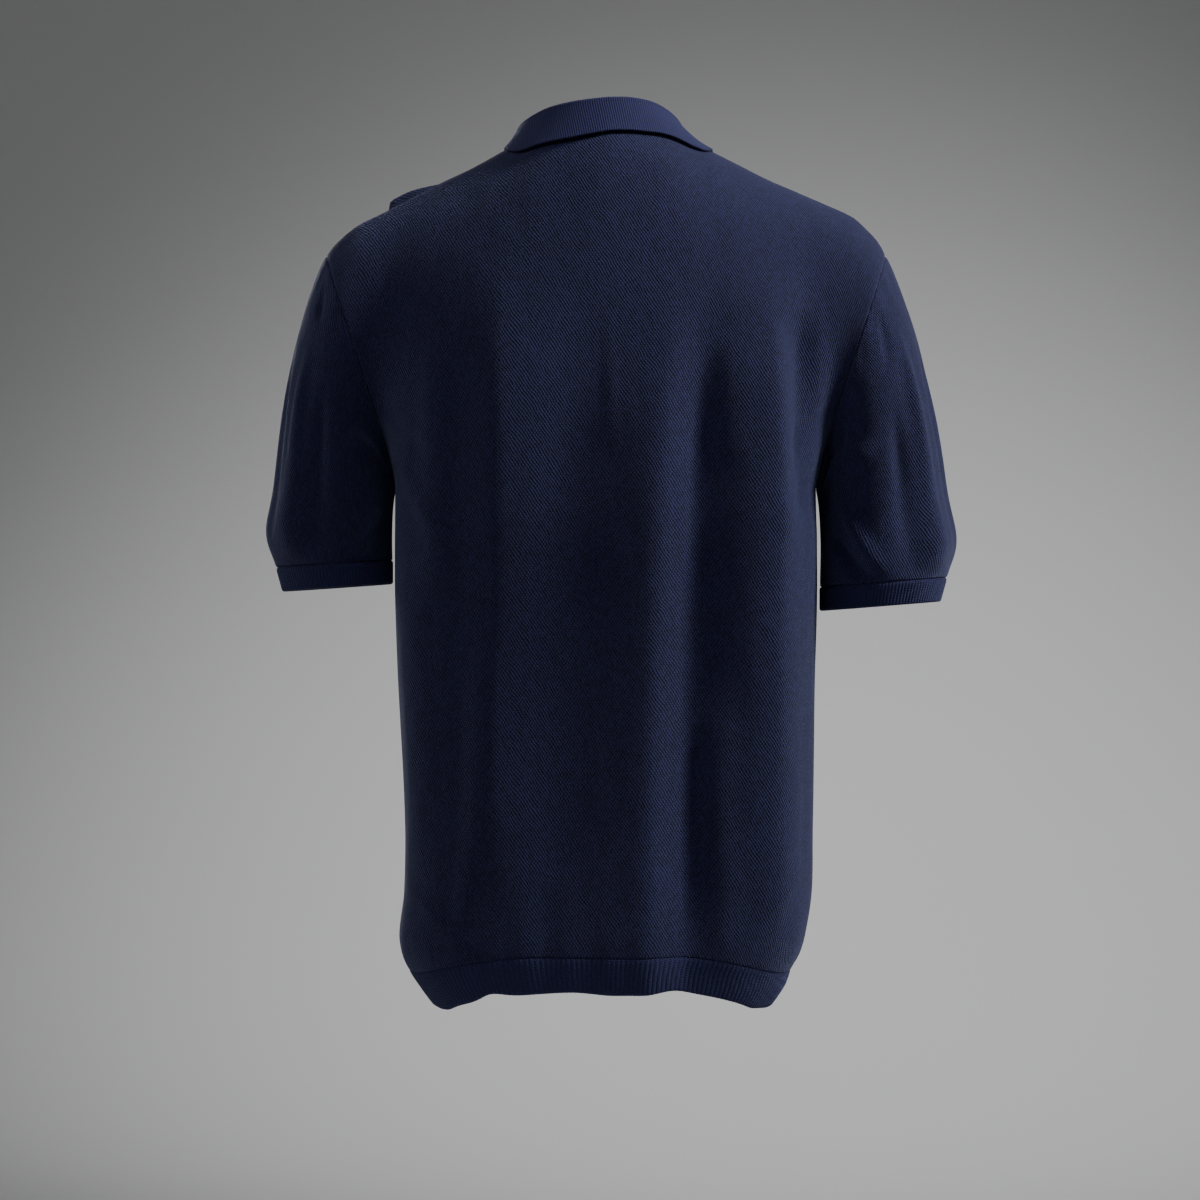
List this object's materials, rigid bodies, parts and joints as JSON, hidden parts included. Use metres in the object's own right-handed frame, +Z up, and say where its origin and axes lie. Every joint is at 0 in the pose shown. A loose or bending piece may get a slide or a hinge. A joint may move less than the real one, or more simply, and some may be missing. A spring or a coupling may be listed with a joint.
{
  "type": "polo shirt",
  "caption": "Dark navy knitted polo shirt with short sleeves, shaped as worn, with a fold-over ribbed collar, ribbed cuffs and hem, and a buttoned placket",
  "frame": {"origin": "The middle of the neck's base, level with the highest point of the shoulders, where the wearer's shoulders carry the shirt", "axes": "+Z is up and runs along the body's length, +Y is the back, -Y the front, and +X the wearer's left"},
  "size_m": [0.5662, 0.2626, 0.7327],
  "materials": {
    "body_knit": "matte pebbled tuck knit of fine dull yarn",
    "rib_knit": "matte vertical rib knit, about 3 mm a rib",
    "collar_knit": "matte close fine rib knit",
    "button": "polished dark resin"
  },
  "bodies": {
    "root": {"back_panel": "body_knit", "front_panel": "body_knit", "sleeve_left": "body_knit", "sleeve_right": "body_knit", "hem_rib_back": "rib_knit", "hem_rib_front": "rib_knit", "cuff_left": "rib_knit", "cuff_right": "rib_knit", "collar": "collar_knit", "placket_upper": "collar_knit", "placket_under": "collar_knit", "button_top": "button", "button_middle": "button", "button_bottom": "button"}
  },
  "joints": []
}
